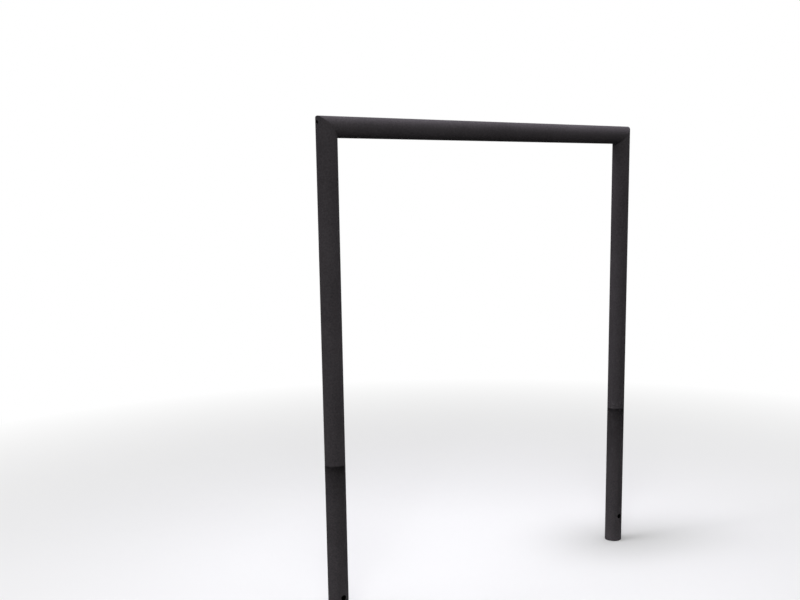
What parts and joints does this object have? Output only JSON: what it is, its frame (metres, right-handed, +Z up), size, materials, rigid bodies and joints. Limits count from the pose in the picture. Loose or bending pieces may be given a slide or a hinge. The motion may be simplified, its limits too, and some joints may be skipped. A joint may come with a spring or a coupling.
{
  "type": "hoop bike rack",
  "caption": "Hoop bike rack of mitred and welded round steel tube, with long open roots to cast into the ground; bicycles lean against it and lock to it.",
  "frame": {"origin": "on the finished ground line, midway between the two legs and in the hoop's own plane", "axes": "+X along the hoop from the left leg to the right leg, +Y square to the hoop, +Z up; what lies below z = 0 is buried"},
  "size_m": [1, 0.0484, 1.2],
  "materials": {
    "tube_coating": "fine-textured matt powder coat, charcoal",
    "weld_coating": "the same fine-textured matt powder coat over a dressed weld"
  },
  "bodies": {
    "root": {"left_upright": "tube_coating", "right_upright": "tube_coating", "top_rail": "tube_coating", "left_mitre_weld": "weld_coating", "right_mitre_weld": "weld_coating"}
  },
  "joints": []
}
